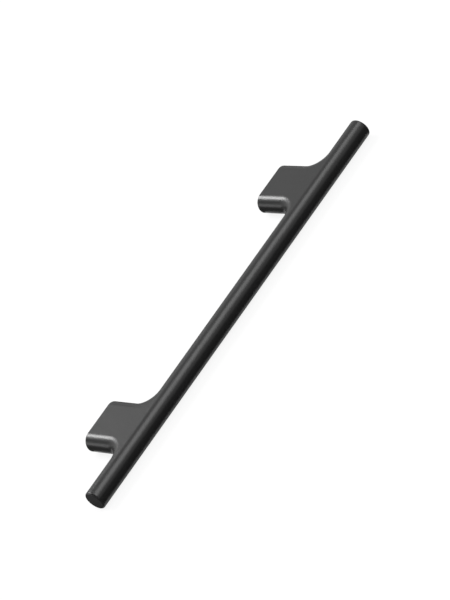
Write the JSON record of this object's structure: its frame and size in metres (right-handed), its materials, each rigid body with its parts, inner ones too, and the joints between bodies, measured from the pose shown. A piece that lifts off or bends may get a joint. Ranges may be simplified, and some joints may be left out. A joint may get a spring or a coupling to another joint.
{
  "type": "cabinet handle",
  "caption": "Matt black cabinet bar handle: a round grip bar on plate-like feet that sweep smoothly into it, with a tapped screw hole in the back of each foot.",
  "frame": {"origin": "on the mounting plane, midway between the two screw holes", "axes": "+X along the bar, +Y out of the mounting faces into the furniture front, +Z square to the flat faces of the feet"},
  "size_m": [0.2492, 0.035, 0.011],
  "materials": {
    "black_coat": "matt black powder coat with a soft satin sheen and a very fine grain",
    "bare_zinc": "bare zinc alloy, freshly cut by the tap, seen only inside the screw holes"
  },
  "bodies": {
    "root": {"bar_handle": "black_coat"}
  },
  "joints": []
}
